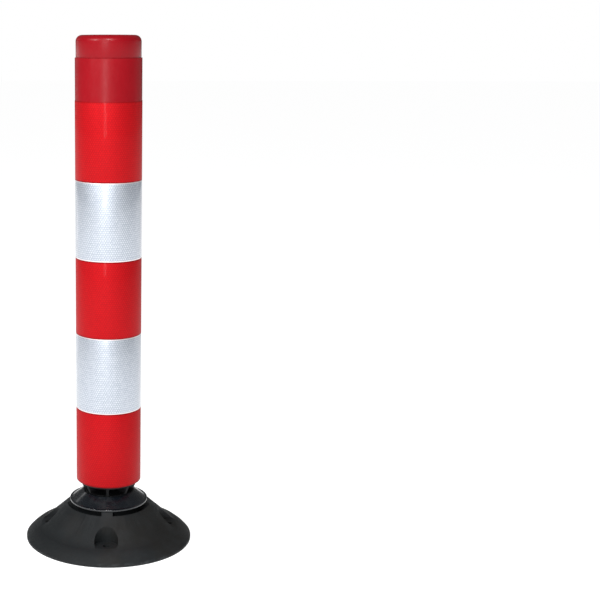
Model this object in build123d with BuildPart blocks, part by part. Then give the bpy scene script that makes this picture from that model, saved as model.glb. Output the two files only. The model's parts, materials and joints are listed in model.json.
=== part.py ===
from build123d import *
import math
import os

# Self-righting delineator post. A striped plastic tube stands on a tapered foot in a round rubber base.
# A wire rope runs from a swivel stud in the base, up through the foot and a compression spring, to a
# ferrule inside the tube. Pushed over, the post rocks on the lip of the seat ring, the rope squeezes
# the spring, and the spring pulls the post upright again. The stud lets it fall in any direction.
# Millimetres, +Z up, origin on the ground below the middle of the post.

# ---- driving dimensions: the whole post ----
total_height = 750.0
post_diameter = 96.0  # bare tube
tube_wall = 3.5
foot_gap = 92.0  # from the ground to the lower end of the tube

# ---- fits ----
fit_gap = 0.2  # loose plastic fit, per side
running_gap = 0.05  # shaft in a bush, per side
face_gap = 0.2  # between faces that turn or slide on each other
rope_gap = 0.3  # rope in a hole that it slides through, per side
seat_gap = 0.4  # between the foot's cone and the lip that it rocks on

# ---- reflective film ----
band_count = 5
band_height = 113.0
band_gap = 0.3
film_thickness = 0.3
film_glue = 0.05
film_margin = 0.5  # bare tube below the lowest band

# ---- cap ----
cap_height = 31.5  # the part above the tube
cap_step = 1.25  # how far its side stands inside the tube's
cap_edge_radius = 9.0
cap_wall = 3.0
cap_dish_radius = 33.0
cap_dish_depth = 0.8
cap_spigot = 28.0
cap_snap_count = 2
cap_snap_width = 2.0
cap_snap_spacing = 8.0

# ---- foot plug ----
cone_height = 26.5  # the part below the tube
cone_inset = 11.8  # how far the cone narrows from the tube's bore
window_bottom_web = 10.5
window_top_web = 4.0
rib_count = 8
rib_width = 4.0
hub_radius = 15.0
sole_groove_wall = 4.2
sole_groove_width = 10.0
sole_groove_depth = 6.0
plug_floor = 5.0
spigot_height = 65.0
spigot_wall = 4.0

# ---- seat ring ----
lip_height = 73.0  # centre of the rounded lip
lip_radius = 1.5
lip_fall = 38.0  # degrees, slope of the ring's upper face
ring_width = 20.4  # from the middle of the lip to the edge of the flange
flange_top = 61.5
flange_thickness = 3.0
flange_edge = 0.8
seat_bottom = 62.0  # where the tapered seat ends in the straight cup
cup_wall = 6.4
cup_floor_top = 37.0
cup_floor = 8.0

# ---- anchor plate and its screws ----
plate_inset = 2.5  # plate's edge inside the flange's
plate_thickness = 4.0
plate_edge = 0.6
plate_screw_count = 4
plate_screw_wall = 6.5  # from the wall of the cup to the screws
plate_screw_radius = 2.5
plate_screw_depth = 6.0
plate_screw_head = 4.5
plate_screw_head_height = 4.0
socket_radius = 2.2
socket_depth = 2.0

# ---- rubber base ----
base_diameter = 250.0
rim_height = 3.0
rim_edge = 1.0
knee_height = 20.0  # where the skirt meets the cone
skirt_bulge = 1.2
shoulder_height = 53.5  # upper edge of the cone
cone_fall = 41.8  # degrees
slot_width = 4.0  # from the seat ring's flange to the cone
trough_floor = 44.0
flange_overhang = 9.5  # beyond the collar
bridge_width = 16.5
recess_gap = 4.0  # round the anchor plate

# ---- ground fixings and sole pockets ----
fixing_count = 4
fixing_circle_radius = 92.0
fixing_hole_radius = 5.0
pocket_radius = 17.5
pocket_floor = 19.5
sole_pocket_count = 8
sole_pocket_wall = 10.0  # from the recess
sole_rim_width = 13.0
sole_pocket_depth = 8.0
sole_pocket_web = 30.0
sole_pocket_corner = 3.0

# ---- swivel ----
stud_radius = 5.0
stud_head_radius = 7.5
stud_head_length = 15.0
stud_edge = 1.0
stud_socket_depth = 10.0
stud_tail = 4.0  # below the cotter pin
bush_wall = 3.0
bush_flange = 2.0
bush_flange_radius = 12.0
washer_radius = 11.0
washer_thickness = 2.5
nut_across_flats = 17.0
nut_height = 8.0
cotter_radius = 1.2
cotter_reach = 9.0
cotter_eye = 2.6
cotter_gap = 0.8

# ---- rope and spring ----
rope_radius = 3.0
rope_tail = 4.0  # above the ferrule
guide_radius = 9.5
guide_length = 12.0
guide_flare = 3.0
throat_radius = 7.0
ferrule_radius = 6.5
ferrule_length = 22.0
ferrule_edge = 1.0
spring_mean_radius = 18.0
spring_wire_radius = 2.0
spring_turns = 13
spring_pitch = 14.0
spring_washer_thickness = 1.5
spring_washer_margin = 1.5
spring_cap_thickness = 4.0
spring_cap_boss = 8.0

# ---- plug screws ----
plug_screw_count = 4
plug_screw_height = 40.0  # above the lower end of the tube
plug_screw_radius = 2.4
plug_screw_length = 9.0
plug_screw_head = 5.0
plug_screw_head_depth = 2.0
plug_screw_inset = 0.1

# ---- derived sizes ----
post_radius = post_diameter / 2
bore_radius = post_radius - tube_wall
base_radius = base_diameter / 2
cap_radius = post_radius - cap_step
tube_top = total_height - cap_height
cone_bottom = foot_gap - cone_height
cone_bottom_radius = bore_radius - cone_inset
cone_angle = math.atan(cone_inset / cone_height)
# The lip's centre stands off the foot's cone by its own radius and the seat gap.
lip_centre_radius = (
    cone_bottom_radius
    + (lip_height - cone_bottom) * math.tan(cone_angle)
    + (lip_radius + seat_gap) / math.cos(cone_angle)
)
cup_radius = (
    lip_centre_radius
    - lip_radius / math.cos(cone_angle)
    - (lip_height - seat_bottom) * math.tan(cone_angle)
)
cup_outer_radius = cup_radius + cup_wall
cup_bottom = cup_floor_top - cup_floor
flange_radius = lip_centre_radius + ring_width
flange_bottom = flange_top - flange_thickness
plate_radius = flange_radius - plate_inset
plate_screw_circle = cup_radius - plate_screw_wall
recess_radius = plate_radius + recess_gap
collar_radius = flange_radius - flange_overhang
shoulder_radius = flange_radius + slot_width
cone_slope = math.tan(math.radians(cone_fall))
knee_radius = shoulder_radius + (shoulder_height - knee_height) / cone_slope
bridge_end_radius = shoulder_radius - (flange_bottom - shoulder_height) / cone_slope
sole_pocket_inner = recess_radius + sole_pocket_wall
sole_pocket_outer = base_radius - sole_rim_width
sole_groove_outer = cone_bottom_radius - sole_groove_wall
sole_groove_inner = sole_groove_outer - sole_groove_width
plate_bottom = cup_bottom - plate_thickness
bush_radius = stud_radius + running_gap + bush_wall
bush_top = cup_floor_top + bush_flange
stud_shoulder = bush_top + face_gap
stud_top = stud_shoulder + stud_head_length
washer_bottom = plate_bottom - face_gap - washer_thickness
nut_bottom = washer_bottom - nut_height
cotter_height = nut_bottom - cotter_gap - cotter_radius
stud_bottom = cotter_height - cotter_radius - stud_tail
plug_floor_top = foot_gap + plug_floor
spigot_radius = bore_radius - fit_gap
spring_bottom = plug_floor_top + spring_washer_thickness
spring_length = spring_turns * spring_pitch + 2 * spring_wire_radius
spring_cap_bottom = spring_bottom + spring_length + face_gap
spring_seat_radius = spring_mean_radius + spring_wire_radius + spring_washer_margin
ferrule_bottom = spring_cap_bottom + spring_cap_thickness
rope_bottom = stud_top - stud_socket_depth + face_gap
rope_top = ferrule_bottom + ferrule_length + rope_tail
plug_screw_z = foot_gap + plug_screw_height
plug_screw_face = math.sqrt(post_radius**2 - plug_screw_head**2) - plug_screw_inset
film_radius = post_radius + film_glue
seam_plane = Plane.XZ.rotated((0, 0, 45))  # turned bodies start between the fixings

os.makedirs("parts", exist_ok=True)

# ---- rubber base: a skirt and a cone, with a trough round the collar that carries the seat ring ----
with BuildPart() as rubber_base:
    with BuildSketch(seam_plane):
        with BuildLine():
            Polyline(
                (recess_radius, cup_bottom),
                (recess_radius, 0),
                (base_radius, 0),
                (base_radius, rim_height),
            )
            SagittaArc((base_radius, rim_height), (knee_radius, knee_height), -skirt_bulge)
            Polyline(
                (knee_radius, knee_height),
                (bridge_end_radius, flange_bottom),
                (cup_outer_radius + fit_gap, flange_bottom),
                (cup_outer_radius + fit_gap, cup_bottom),
                (recess_radius, cup_bottom),
            )
        make_face()
        fillet(vertices().group_by(Axis.X)[-1].sort_by(Axis.Z)[-1], rim_edge)
    revolve(axis=Axis.Z)
    # the trough stops at the bridges, which run on at the cone's slope to the collar
    with BuildSketch(Plane.XY.offset(trough_floor)):
        Circle(shoulder_radius)
        Circle(collar_radius, mode=Mode.SUBTRACT)
        with PolarLocations(0, fixing_count // 2, angular_range=180):
            Rectangle(base_diameter, bridge_width, mode=Mode.SUBTRACT)
    extrude(amount=flange_top, mode=Mode.SUBTRACT)
    # a flat-floored pocket and a through hole for each ground fixing
    with BuildSketch(Plane.XY.offset(pocket_floor)):
        with PolarLocations(fixing_circle_radius, fixing_count):
            Circle(pocket_radius)
    extrude(amount=flange_top, mode=Mode.SUBTRACT)
    with BuildSketch():
        with PolarLocations(fixing_circle_radius, fixing_count):
            Circle(fixing_hole_radius)
    extrude(amount=flange_top, mode=Mode.SUBTRACT)
    # lightening pockets in the sole, with webs through the fixings and between them
    with BuildSketch():
        Circle(sole_pocket_outer)
        Circle(sole_pocket_inner, mode=Mode.SUBTRACT)
        with PolarLocations(0, sole_pocket_count // 2, angular_range=180):
            Rectangle(base_diameter, sole_pocket_web, mode=Mode.SUBTRACT)
        fillet(vertices(), sole_pocket_corner)
    extrude(amount=sole_pocket_depth, mode=Mode.SUBTRACT)
rubber_base.part.label = "rubber_base"
export_step(rubber_base.part, "parts/rubber_base.step")

# ---- seat ring: a flange, a sloped top, the rounded lip, the tapered seat and a cup below it ----
lip_start_angle = 90 - lip_fall
lip_arc = 90 + lip_fall - math.degrees(cone_angle)
lip_run = lip_radius * math.sin(math.radians(lip_fall))
lip_rise = lip_radius * math.cos(math.radians(lip_fall))
slope_fall = lip_height + lip_rise - flange_top
slope_end = lip_centre_radius + lip_run + slope_fall / math.tan(math.radians(lip_fall))
with BuildPart() as seat_ring:
    with BuildSketch(seam_plane):
        with BuildLine():
            lip = CenterArc((lip_centre_radius, lip_height), lip_radius, lip_start_angle, lip_arc)
            Polyline(
                lip @ 1,
                (cup_radius, seat_bottom),
                (cup_radius, cup_floor_top),
                (bush_radius, cup_floor_top),
                (bush_radius, cup_bottom),
                (cup_outer_radius, cup_bottom),
                (cup_outer_radius, flange_bottom),
                (flange_radius, flange_bottom),
                (flange_radius, flange_top),
                (slope_end, flange_top),
                lip @ 0,
            )
        make_face()
        fillet(vertices().group_by(Axis.X)[-1], flange_edge)
    revolve(axis=Axis.Z)
    with BuildSketch(Plane.XY.offset(cup_bottom)):
        with PolarLocations(plate_screw_circle, plate_screw_count):
            Circle(plate_screw_radius)
    extrude(amount=plate_screw_depth, mode=Mode.SUBTRACT)
seat_ring.part.label = "seat_ring"
export_step(seat_ring.part, "parts/seat_ring.step")

# ---- anchor plate: clamps the collar of the rubber base against the flange of the seat ring ----
with BuildPart() as anchor_plate:
    with BuildSketch(Plane.XY.offset(plate_bottom)):
        Circle(plate_radius)
        Circle(bush_radius, mode=Mode.SUBTRACT)
        with PolarLocations(plate_screw_circle, plate_screw_count):
            Circle(plate_screw_radius + fit_gap, mode=Mode.SUBTRACT)
    extrude(amount=plate_thickness)
    chamfer(anchor_plate.edges().filter_by(GeomType.CIRCLE).sort_by(SortBy.RADIUS)[-2:], plate_edge)
anchor_plate.part.label = "anchor_plate"
export_step(anchor_plate.part, "parts/anchor_plate.step")

with BuildPart() as plate_screws:
    with BuildSketch(Plane.XY.offset(plate_bottom - plate_screw_head_height)):
        with PolarLocations(plate_screw_circle, plate_screw_count):
            Circle(plate_screw_head)
    extrude(amount=plate_screw_head_height)
    with BuildSketch(Plane.XY.offset(plate_bottom)):
        with PolarLocations(plate_screw_circle, plate_screw_count):
            Circle(plate_screw_radius)
    extrude(amount=plate_thickness + plate_screw_depth)
    with BuildSketch(Plane.XY.offset(plate_bottom - plate_screw_head_height)):
        with PolarLocations(plate_screw_circle, plate_screw_count):
            RegularPolygon(socket_radius, 6)
    extrude(amount=socket_depth, mode=Mode.SUBTRACT)
plate_screws.part.label = "plate_screws"
export_step(plate_screws.part, "parts/plate_screws.step")

# ---- swivel: a flanged bush, a stud that turns in it, and the washer, nut and cotter pin below ----
with BuildPart() as swivel_bush:
    with BuildSketch(Plane.XY.offset(plate_bottom)):
        Circle(bush_radius)
    extrude(amount=bush_top - plate_bottom)
    with BuildSketch(Plane.XY.offset(cup_floor_top)):
        Circle(bush_flange_radius)
    extrude(amount=bush_flange)
    with BuildSketch(Plane.XY.offset(plate_bottom)):
        Circle(stud_radius + running_gap)
    extrude(amount=bush_top - plate_bottom, mode=Mode.SUBTRACT)
swivel_bush.part.label = "swivel_bush"
export_step(swivel_bush.part, "parts/swivel_bush.step")

with BuildPart() as swivel_stud:
    with BuildSketch(Plane.XY.offset(stud_bottom)):
        Circle(stud_radius)
    extrude(amount=stud_shoulder - stud_bottom)
    with BuildSketch(Plane.XY.offset(stud_shoulder)):
        Circle(stud_head_radius)
    extrude(amount=stud_head_length)
    chamfer(swivel_stud.edges().sort_by(Axis.Z)[-1], stud_edge)
    chamfer(swivel_stud.edges().sort_by(Axis.Z)[0], stud_edge)
    with BuildSketch(Plane.XY.offset(stud_top)):
        Circle(rope_radius + running_gap)
    extrude(amount=-stud_socket_depth, mode=Mode.SUBTRACT)
    with Locations((0, 0, cotter_height)):
        Cylinder(cotter_radius, 2 * stud_head_radius, rotation=(0, 90, 0), mode=Mode.SUBTRACT)
swivel_stud.part.label = "swivel_stud"
export_step(swivel_stud.part, "parts/swivel_stud.step")

with BuildPart() as thrust_washer:
    with BuildSketch(Plane.XY.offset(washer_bottom)):
        Circle(washer_radius)
        Circle(stud_radius + fit_gap, mode=Mode.SUBTRACT)
    extrude(amount=washer_thickness)
thrust_washer.part.label = "thrust_washer"
export_step(thrust_washer.part, "parts/thrust_washer.step")

with BuildPart() as swivel_nut:
    with BuildSketch(Plane.XY.offset(nut_bottom)):
        RegularPolygon(nut_across_flats / 2, 6, major_radius=False)
        Circle(stud_radius, mode=Mode.SUBTRACT)
    extrude(amount=nut_height)
swivel_nut.part.label = "swivel_nut"
export_step(swivel_nut.part, "parts/swivel_nut.step")

with BuildPart() as cotter_pin:
    with Locations((0, 0, cotter_height)):
        Cylinder(cotter_radius, 2 * cotter_reach, rotation=(0, 90, 0))
    with Locations((cotter_reach + cotter_eye, 0, cotter_height)):
        Torus(cotter_eye, cotter_radius)
cotter_pin.part.label = "cotter_pin"
export_step(cotter_pin.part, "parts/cotter_pin.step")

# ---- foot plug: a ribbed cone that rocks in the seat, and a spigot that carries the tube ----
with BuildPart() as foot_plug:
    with BuildSketch(seam_plane):
        with BuildLine():
            Polyline(
                (throat_radius, cone_bottom),
                (cone_bottom_radius, cone_bottom),
                (bore_radius, foot_gap),
                (spigot_radius, foot_gap),
                (spigot_radius, foot_gap + spigot_height),
                (spigot_radius - spigot_wall, foot_gap + spigot_height),
                (spigot_radius - spigot_wall, plug_floor_top),
                (throat_radius, plug_floor_top),
                close=True,
            )
        make_face()
    revolve(axis=Axis.Z)
    # windows between the ribs
    window_bottom = cone_bottom + window_bottom_web
    with BuildSketch(Plane.XY.offset(window_bottom)):
        Circle(post_radius)
        Circle(hub_radius, mode=Mode.SUBTRACT)
        with PolarLocations(0, rib_count // 2, angular_range=180):
            Rectangle(post_diameter, rib_width, mode=Mode.SUBTRACT)
    extrude(amount=foot_gap - window_top_web - window_bottom, mode=Mode.SUBTRACT)
    # grooves in the sole of the plug, between the same ribs
    with BuildSketch(Plane.XY.offset(cone_bottom)):
        Circle(sole_groove_outer)
        Circle(sole_groove_inner, mode=Mode.SUBTRACT)
        with PolarLocations(0, rib_count // 2, angular_range=180):
            Rectangle(post_diameter, rib_width, mode=Mode.SUBTRACT)
    extrude(amount=sole_groove_depth, mode=Mode.SUBTRACT)
    # bore for the rope guide
    with BuildSketch(Plane.XY.offset(cone_bottom)):
        Circle(guide_radius)
    extrude(amount=guide_length, mode=Mode.SUBTRACT)
    # holes for the plug screws
    with Locations((0, 0, plug_screw_z)):
        with PolarLocations(spigot_radius, plug_screw_count, start_angle=45):
            Cylinder(plug_screw_radius, 3 * spigot_wall, rotation=(0, 90, 0), mode=Mode.SUBTRACT)
foot_plug.part.label = "foot_plug"
export_step(foot_plug.part, "parts/foot_plug.step")

with BuildPart() as rope_guide:
    with BuildSketch(Plane.XY.offset(cone_bottom)):
        Circle(guide_radius)
        Circle(rope_radius + rope_gap, mode=Mode.SUBTRACT)
    extrude(amount=guide_length)
    mouth = rope_guide.edges().group_by(Axis.Z)[0].sort_by(SortBy.RADIUS)[0]
    fillet(mouth, guide_flare)
rope_guide.part.label = "rope_guide"
export_step(rope_guide.part, "parts/rope_guide.step")

# ---- post tube ----
with BuildPart() as post_tube:
    with BuildSketch(Plane.XY.offset(foot_gap)):
        Circle(post_radius)
        Circle(bore_radius, mode=Mode.SUBTRACT)
    extrude(amount=tube_top - foot_gap)
    with Locations((0, 0, plug_screw_z)):
        with PolarLocations(bore_radius, plug_screw_count, start_angle=45):
            Cylinder(plug_screw_radius + fit_gap, 4 * tube_wall, rotation=(0, 90, 0), mode=Mode.SUBTRACT)
        with PolarLocations(plug_screw_face - plug_screw_head_depth, plug_screw_count, start_angle=45):
            Cylinder(
                plug_screw_head + fit_gap,
                post_radius,
                rotation=(0, 90, 0),
                align=(Align.CENTER, Align.CENTER, Align.MIN),
                mode=Mode.SUBTRACT,
            )
post_tube.part.label = "post_tube"
export_step(post_tube.part, "parts/post_tube.step")

with BuildPart() as plug_screws:
    with Locations((0, 0, plug_screw_z)):
        with PolarLocations(plug_screw_face - plug_screw_head_depth, plug_screw_count, start_angle=45):
            Cylinder(
                plug_screw_head,
                plug_screw_head_depth,
                rotation=(0, 90, 0),
                align=(Align.CENTER, Align.CENTER, Align.MIN),
            )
            Cylinder(
                plug_screw_radius,
                plug_screw_length,
                rotation=(0, 90, 0),
                align=(Align.CENTER, Align.CENTER, Align.MAX),
            )
plug_screws.part.label = "plug_screws"
export_step(plug_screws.part, "parts/plug_screws.step")

# ---- reflective film: one wrap for each stripe, counted from the bottom ----
for index in range(band_count):
    name = f"film_band_{index + 1}"
    with BuildPart() as film_band:
        with BuildSketch(Plane.XY.offset(foot_gap + film_margin + index * (band_height + band_gap))):
            Circle(film_radius + film_thickness)
            Circle(film_radius, mode=Mode.SUBTRACT)
        extrude(amount=band_height)
    film_band.part.label = name
    export_step(film_band.part, f"parts/{name}.step")

# ---- cap: a rounded lid with a hollow spigot and snap rings ----
with BuildPart() as top_cap:
    with BuildSketch(Plane.XY.offset(tube_top)):
        Circle(cap_radius)
    extrude(amount=cap_height)
    fillet(top_cap.edges().group_by(Axis.Z)[-1], cap_edge_radius)
    with BuildSketch(Plane.XY.offset(total_height)):
        Circle(cap_dish_radius)
    extrude(amount=-cap_dish_depth, mode=Mode.SUBTRACT)
    with BuildSketch(Plane.XY.offset(tube_top)):
        Circle(spigot_radius)
    extrude(amount=-cap_spigot)
    for index in range(cap_snap_count):
        with BuildSketch(Plane.XY.offset(tube_top - (index + 1) * cap_snap_spacing)):
            Circle(bore_radius)
        extrude(amount=cap_snap_width)
    with BuildSketch(Plane.XY.offset(tube_top - cap_spigot)):
        Circle(spigot_radius - cap_wall)
    extrude(amount=cap_spigot + cap_height - cap_edge_radius, mode=Mode.SUBTRACT)
top_cap.part.label = "top_cap"
export_step(top_cap.part, "parts/top_cap.step")

# ---- return spring between a washer on the plug's floor and a cap that the rope pulls down ----
with BuildPart() as spring_washer:
    with BuildSketch(Plane.XY.offset(plug_floor_top)):
        Circle(spring_seat_radius)
        Circle(rope_radius + rope_gap, mode=Mode.SUBTRACT)
    extrude(amount=spring_washer_thickness)
spring_washer.part.label = "spring_washer"
export_step(spring_washer.part, "parts/spring_washer.step")

with BuildPart() as return_spring:
    with BuildLine(Plane.XY.offset(spring_bottom + spring_wire_radius)) as coil:
        Helix(spring_pitch, spring_turns * spring_pitch, spring_mean_radius)
    with BuildSketch(Plane(origin=coil.line @ 0, z_dir=coil.line % 0)):
        Circle(spring_wire_radius)
    sweep(path=coil.line, is_frenet=True)
return_spring.part.label = "return_spring"
export_step(return_spring.part, "parts/return_spring.step")

with BuildPart() as spring_cap:
    with BuildSketch(Plane.XY.offset(spring_cap_bottom)):
        Circle(spring_seat_radius)
    extrude(amount=spring_cap_thickness)
    with BuildSketch(Plane.XY.offset(spring_cap_bottom)):
        Circle(spring_mean_radius - spring_wire_radius - fit_gap - running_gap)
    extrude(amount=-spring_cap_boss)
    with BuildSketch(Plane.XY.offset(spring_cap_bottom - spring_cap_boss)):
        Circle(rope_radius + rope_gap)
    extrude(amount=spring_cap_boss + spring_cap_thickness, mode=Mode.SUBTRACT)
spring_cap.part.label = "spring_cap"
export_step(spring_cap.part, "parts/spring_cap.step")

# ---- pull rope and its ferrule ----
with BuildPart() as pull_rope:
    with BuildSketch(Plane.XY.offset(rope_bottom)):
        Circle(rope_radius)
    extrude(amount=rope_top - rope_bottom)
pull_rope.part.label = "pull_rope"
export_step(pull_rope.part, "parts/pull_rope.step")

with BuildPart() as rope_ferrule:
    with BuildSketch(Plane.XY.offset(ferrule_bottom)):
        Circle(ferrule_radius)
    extrude(amount=ferrule_length)
    chamfer(rope_ferrule.edges().group_by(Axis.Z)[-1], ferrule_edge)
    with BuildSketch(Plane.XY.offset(ferrule_bottom)):
        Circle(rope_radius)
    extrude(amount=ferrule_length, mode=Mode.SUBTRACT)
rope_ferrule.part.label = "rope_ferrule"
export_step(rope_ferrule.part, "parts/rope_ferrule.step")
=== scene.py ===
"""A self-righting delineator post in a plain studio: its shells, its hidden works and their finishes."""

from __future__ import annotations

import json
import logging
import math
from dataclasses import dataclass
from enum import Enum
from typing import Any, Callable, Iterable, Sequence

import bpy
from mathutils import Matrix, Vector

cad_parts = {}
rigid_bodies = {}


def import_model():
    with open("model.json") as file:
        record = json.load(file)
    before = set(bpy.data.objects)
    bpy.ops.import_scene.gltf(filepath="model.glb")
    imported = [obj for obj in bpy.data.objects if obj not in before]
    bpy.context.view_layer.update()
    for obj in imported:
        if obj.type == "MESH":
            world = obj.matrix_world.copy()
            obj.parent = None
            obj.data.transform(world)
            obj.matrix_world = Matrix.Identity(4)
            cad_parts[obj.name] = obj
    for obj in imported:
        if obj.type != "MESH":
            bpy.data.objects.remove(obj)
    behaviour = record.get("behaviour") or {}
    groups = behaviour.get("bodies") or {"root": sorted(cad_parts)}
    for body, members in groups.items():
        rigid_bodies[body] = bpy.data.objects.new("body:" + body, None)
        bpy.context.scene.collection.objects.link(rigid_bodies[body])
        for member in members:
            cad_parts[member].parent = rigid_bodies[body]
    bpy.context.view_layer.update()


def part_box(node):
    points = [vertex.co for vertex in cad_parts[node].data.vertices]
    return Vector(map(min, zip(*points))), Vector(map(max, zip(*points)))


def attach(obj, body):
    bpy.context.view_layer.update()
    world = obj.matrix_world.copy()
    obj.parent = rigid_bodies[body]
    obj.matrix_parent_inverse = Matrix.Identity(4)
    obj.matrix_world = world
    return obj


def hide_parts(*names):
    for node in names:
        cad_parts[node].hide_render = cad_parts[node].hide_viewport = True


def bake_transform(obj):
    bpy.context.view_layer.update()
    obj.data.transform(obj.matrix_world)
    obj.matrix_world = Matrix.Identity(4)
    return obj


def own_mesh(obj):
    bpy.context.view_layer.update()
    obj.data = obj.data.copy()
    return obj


log = logging.getLogger("delineator_post")

MM = 0.001
Point = tuple[float, float]
Place = tuple[float, float, float]
Piece = bpy.types.Object
Tree = bpy.types.NodeTree
Node = bpy.types.Node
SIDES = 192  # facets round a turned piece
MERGE = 0.002 * MM  # corners closer than this become one
NEXT_ROW = (0.5, math.sqrt(0.75))  # from a honeycomb cell to its neighbour one row up, in cells


# ---------------------------------------------------------------------------------------------------
# Modelling
# ---------------------------------------------------------------------------------------------------
def deselect() -> None:
    """Leaves nothing selected, so that an operator acts only on what comes next."""
    bpy.ops.object.select_all(action="DESELECT")


def pick(piece: Piece) -> None:
    """Makes one piece the selected and active one.

    Args:
        piece: The piece.
    """
    deselect()
    piece.select_set(True)
    bpy.context.view_layer.objects.active = piece


def settle(name: str) -> Piece:
    """Names the primitive that was just added and moves its place into its mesh.

    Args:
        name: The piece's name.

    Returns:
        The piece, which now sits at the origin.
    """
    piece = bpy.context.object
    piece.name = name
    bpy.ops.object.transform_apply(location=True, rotation=True, scale=True)
    return piece


def arc(centre: Point, radius: float, start: float, end: float, steps: int) -> list[Point]:
    """Points along an arc of an outline.

    Args:
        centre: The arc's centre as (radius from the axis, height).
        radius: The arc's radius.
        start: Its first angle in degrees, anticlockwise from outwards.
        end: Its last angle in degrees.
        steps: How many stretches it is divided into.

    Returns:
        The points, both ends included.
    """
    turns = [math.radians(start + (end - start) * i / steps) for i in range(steps + 1)]
    return [(centre[0] + radius * math.cos(t), centre[1] + radius * math.sin(t)) for t in turns]


def ring_outline(radii: Point, heights: Point) -> list[Point]:
    """The outline of a plain ring.

    Args:
        radii: Its inner and outer radius.
        heights: The heights of its lower and upper face.

    Returns:
        Its four corners as (radius, height).
    """
    (inner, outer), (low, high) = radii, heights
    return [(inner, low), (outer, low), (outer, high), (inner, high)]


def bowed(start: Point, end: Point, bulge: float, steps: int) -> list[Point]:
    """Points along a gentle curve between two corners of an outline.

    Args:
        start: The first corner as (radius from the axis, height).
        end: The last corner.
        bulge: How far the curve's middle stands outside the straight line.
        steps: How many stretches it is divided into.

    Returns:
        The points, both ends included.
    """
    (r_a, z_a), (r_b, z_b) = start, end
    length = math.hypot(r_b - r_a, z_b - z_a)
    out_r, out_z = (z_b - z_a) / length, -(r_b - r_a) / length
    points = []
    for i in range(steps + 1):
        t = i / steps
        lift = 4 * bulge * t * (1 - t)
        points.append((r_a + (r_b - r_a) * t + out_r * lift, z_a + (z_b - z_a) * t + out_z * lift))
    return points


def eased_corner(before: Point, corner: Point, after: Point, reach: float, steps: int) -> list[Point]:
    """Points along a curve that cuts off a corner of an outline.

    Args:
        before: The corner before it as (radius from the axis, height).
        corner: The corner itself.
        after: The corner after it.
        reach: How far from the corner the curve starts and ends.
        steps: How many stretches it is divided into.

    Returns:
        The points, both ends included.
    """
    ends = []
    for end in (before, after):
        share = min(1.0, reach / math.dist(corner, end))
        ends.append([c + (e - c) * share for c, e in zip(corner, end)])
    points = []
    for i in range(steps + 1):
        t = i / steps
        weights = ((1 - t) ** 2, 2 * t * (1 - t), t * t)
        pulls = list(zip(weights, (ends[0], corner, ends[1])))
        points.append((sum(w * p[0] for w, p in pulls), sum(w * p[1] for w, p in pulls)))
    return points


def turned(name: str, outline: Sequence[Point], hollow: bool = True) -> Piece:
    """Turns an outline round the post's axis, one ring after another.

    Args:
        name: The piece's name.
        outline: Its corners as (radius, height).
        hollow: True if the outline closes on itself, False if its two ends are closed by discs.

    Returns:
        The turned piece.
    """
    rings = [*outline, outline[0]] if hollow else list(outline)
    deselect()
    bpy.ops.mesh.primitive_circle_add(vertices=SIDES, radius=rings[0][0], location=(0, 0, rings[0][1]))
    piece = settle(name)
    bpy.ops.object.mode_set(mode="EDIT")
    bpy.ops.mesh.select_all(action="SELECT")
    for (r_a, z_a), (r_b, z_b) in zip(rings, rings[1:]):
        bpy.ops.mesh.extrude_edges_move(TRANSFORM_OT_translate={"value": (0, 0, z_b - z_a)})
        bpy.ops.transform.resize(value=(r_b / r_a, r_b / r_a, 1), center_override=(0, 0, z_b))
    bpy.ops.mesh.select_all(action="SELECT")
    bpy.ops.mesh.remove_doubles(threshold=MERGE)
    if not hollow:
        bpy.ops.mesh.fill_holes(sides=0)
    bpy.ops.mesh.select_all(action="SELECT")
    bpy.ops.mesh.normals_make_consistent(inside=False)
    bpy.ops.object.mode_set(mode="OBJECT")
    return piece


def rod(name: str, radius: float, low: float, high: float, at: Point, sides: int = 64) -> Piece:
    """A plain upright rod, used to cut other pieces.

    Args:
        name: The rod's name.
        radius: Its radius.
        low: The height of its lower end.
        high: The height of its upper end.
        at: Its place in plan.
        sides: The number of facets.

    Returns:
        The rod.
    """
    deselect()
    place = (at[0], at[1], (low + high) / 2)
    bpy.ops.mesh.primitive_cylinder_add(vertices=sides, radius=radius, depth=high - low, location=place)
    return settle(name)


def bar(name: str, size: Place, at: Place, turn: float) -> Piece:
    """A plain bar through the axis, used to keep webs between cuts.

    Args:
        name: The bar's name.
        size: Its length, width and height.
        at: The place of its middle.
        turn: How many degrees it is turned about the axis.

    Returns:
        The bar.
    """
    deselect()
    bpy.ops.mesh.primitive_cube_add(size=1, location=at, rotation=(0, 0, math.radians(turn)))
    bpy.context.object.scale = size
    return settle(name)


def finish_modifier(piece: Piece, kind: str, settings: dict[str, Any]) -> None:
    """Adds one modifier to a piece, sets it and applies it.

    Args:
        piece: The piece.
        kind: The modifier's type.
        settings: Its properties.
    """
    pick(piece)
    modifier = piece.modifiers.new(kind.lower(), kind)
    for key, value in settings.items():
        setattr(modifier, key, value)
    bpy.ops.object.modifier_apply(modifier=modifier.name)


def cut(piece: Piece, *tools: Piece) -> None:
    """Cuts tools out of a piece and throws them away.

    Args:
        piece: The piece.
        tools: The shapes that are cut out of it, one after another.
    """
    for tool in tools:
        finish_modifier(piece, "BOOLEAN", {"object": tool, "operation": "DIFFERENCE", "solver": "EXACT"})
        bpy.data.objects.remove(tool)


def eased(piece: Piece, width: float, steps: int = 3, angle: float = 30.0) -> None:
    """Rounds the piece's sharp edges and shades its faces smooth.

    Args:
        piece: The piece.
        width: The width of the rounding.
        steps: The number of facets across it.
        angle: Edges that turn by less than this many degrees are left alone.
    """
    settings = {
        "width": width,
        "segments": steps,
        "limit_method": "ANGLE",
        "angle_limit": math.radians(angle),
        "use_clamp_overlap": True,
        "harden_normals": False,
    }
    finish_modifier(piece, "BEVEL", settings)
    smooth(piece)


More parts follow.
